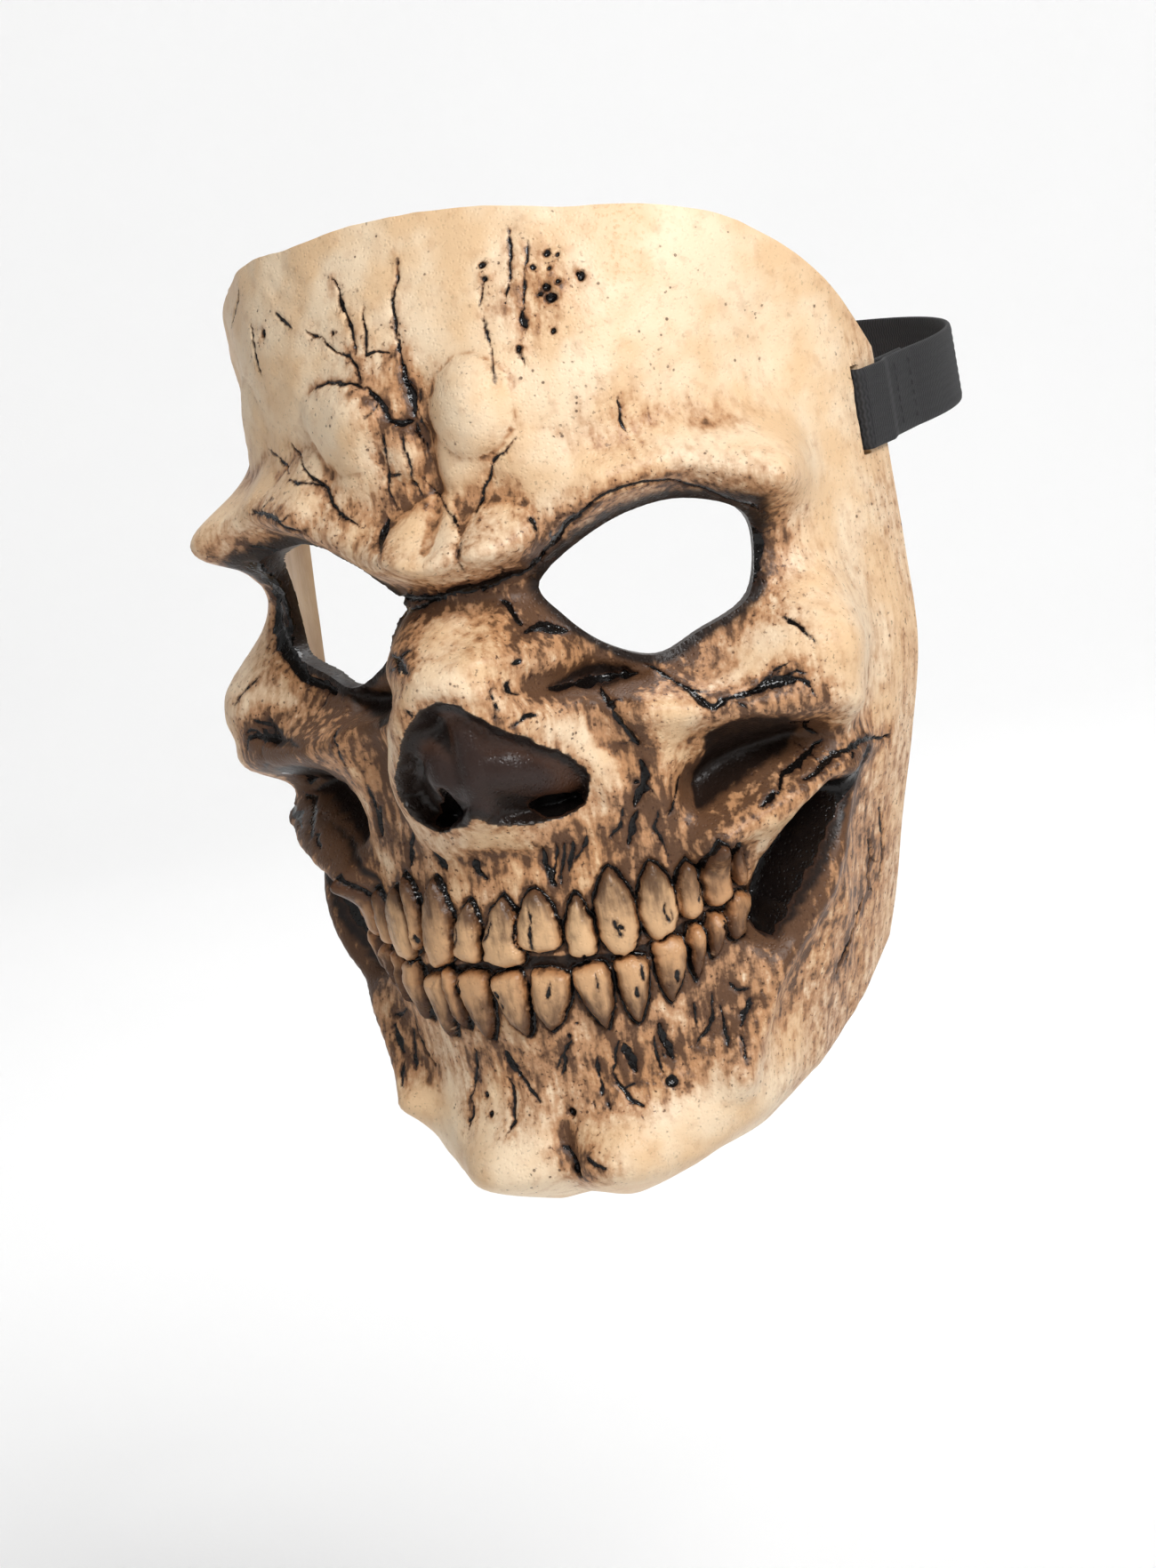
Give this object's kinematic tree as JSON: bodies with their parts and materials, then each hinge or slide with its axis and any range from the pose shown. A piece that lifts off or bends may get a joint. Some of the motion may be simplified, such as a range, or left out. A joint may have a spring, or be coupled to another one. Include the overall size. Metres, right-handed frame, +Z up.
{
  "type": "skull face mask",
  "caption": "Full-face cast latex skull mask with open eye holes, relief teeth and jaw, and an elastic strap that goes round the back of the head",
  "frame": {"origin": "on the inner face of the mask at the nose bridge, where it sits on the wearer's face", "axes": "+Z up, the mask faces -Y, +X is the wearer's left"},
  "size_m": [0.156, 0.1939, 0.2221],
  "materials": {
    "painted_latex": "cast latex painted bone cream, with brown wash and glossy near-black recesses",
    "black_elastic": "woven black elastic"
  },
  "bodies": {
    "root": {"mask_shell": "painted_latex", "elastic_strap": "black_elastic"}
  },
  "joints": []
}
